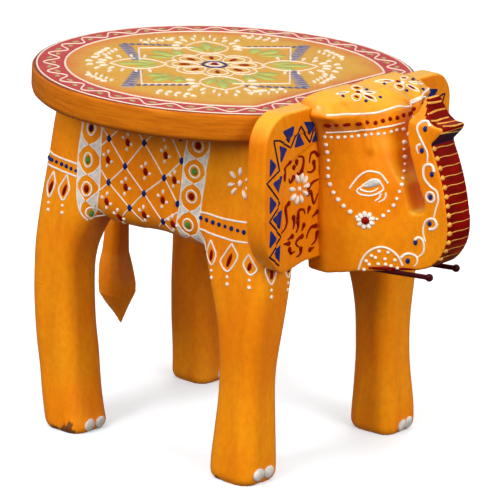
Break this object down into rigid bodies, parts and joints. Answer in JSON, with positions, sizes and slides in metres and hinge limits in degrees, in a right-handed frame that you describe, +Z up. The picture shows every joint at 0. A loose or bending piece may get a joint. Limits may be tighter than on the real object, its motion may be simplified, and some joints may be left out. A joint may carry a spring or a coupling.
{
  "type": "carved elephant stool",
  "caption": "Low wooden stool carved as a standing elephant with a round seat, raised trunk and painted folk ornament",
  "frame": {"origin": "centre of the stool's bounding box on the floor, under the feet", "axes": "+Z up, +X towards the elephant's head and trunk, +Y towards its left side"},
  "size_m": [0.3165, 0.25, 0.255],
  "materials": {
    "painted_seat": "yellow ochre and red paint under gloss varnish",
    "painted_body": "hand carved, orange paint under gloss varnish",
    "painted_legs": "hand carved, orange paint under gloss varnish, worn at the feet",
    "painted_head": "hand carved, orange paint under gloss varnish, dark red trunk front",
    "painted_ears": "orange paint with a blue border",
    "painted_tail": "orange paint on knife-cut facets",
    "painted_tusks": "dark maroon gloss paint",
    "bare_dowel": "bare hardwood pin"
  },
  "bodies": {
    "root": {"seat_board": "painted_seat", "body_block": "painted_body", "front_right_leg": "painted_legs", "front_left_leg": "painted_legs", "rear_right_leg": "painted_legs", "rear_left_leg": "painted_legs", "head_block": "painted_head", "right_ear": "painted_ears", "left_ear": "painted_ears", "tail": "painted_tail", "right_tusk": "painted_tusks", "left_tusk": "painted_tusks", "leg_dowels": "bare_dowel", "seat_dowels": "bare_dowel", "head_dowels": "bare_dowel", "ear_dowels": "bare_dowel"}
  },
  "joints": []
}
